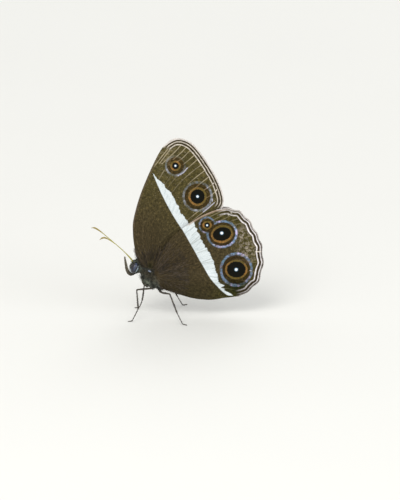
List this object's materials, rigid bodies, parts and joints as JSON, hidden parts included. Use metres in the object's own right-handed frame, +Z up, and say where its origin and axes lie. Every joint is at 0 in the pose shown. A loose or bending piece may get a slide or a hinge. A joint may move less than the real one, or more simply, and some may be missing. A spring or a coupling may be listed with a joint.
{
  "type": "smooth-eyed bushbrown butterfly",
  "caption": "Life-size brown satyrine butterfly at rest, wings closed above its back, standing on slender legs with feelers forward.",
  "frame": {"origin": "on the floor under the middle of the model's box, at the level of the flats under the four standing feet", "axes": "+Z up; the head looks along -X and the tail end is towards +X; the butterfly's own left side is towards -Y"},
  "size_m": [0.0308, 0.012, 0.0333],
  "materials": {
    "scaly_wing": "matt brown wing scales with a white band and ringed eyespots",
    "dark_fur": "dark olive-brown scales and short hair over a hard body",
    "compound_eye": "smooth glossy dark eye with a pale rim",
    "leg_chitin": "satin grey-brown legs",
    "feeler_chitin": "satin ochre feelers with browner clubs"
  },
  "bodies": {
    "root": {"head": "dark_fur", "eye_left": "compound_eye", "eye_right": "compound_eye", "palp_left": "dark_fur", "palp_right": "dark_fur", "antenna_left": "feeler_chitin", "antenna_right": "feeler_chitin", "thorax": "dark_fur", "abdomen": "dark_fur", "forewing_left": "scaly_wing", "forewing_right": "scaly_wing", "hindwing_left": "scaly_wing", "hindwing_right": "scaly_wing", "foreleg_left": "leg_chitin", "foreleg_right": "leg_chitin", "midleg_left": "leg_chitin", "midleg_right": "leg_chitin", "hindleg_left": "leg_chitin", "hindleg_right": "leg_chitin"}
  },
  "joints": []
}
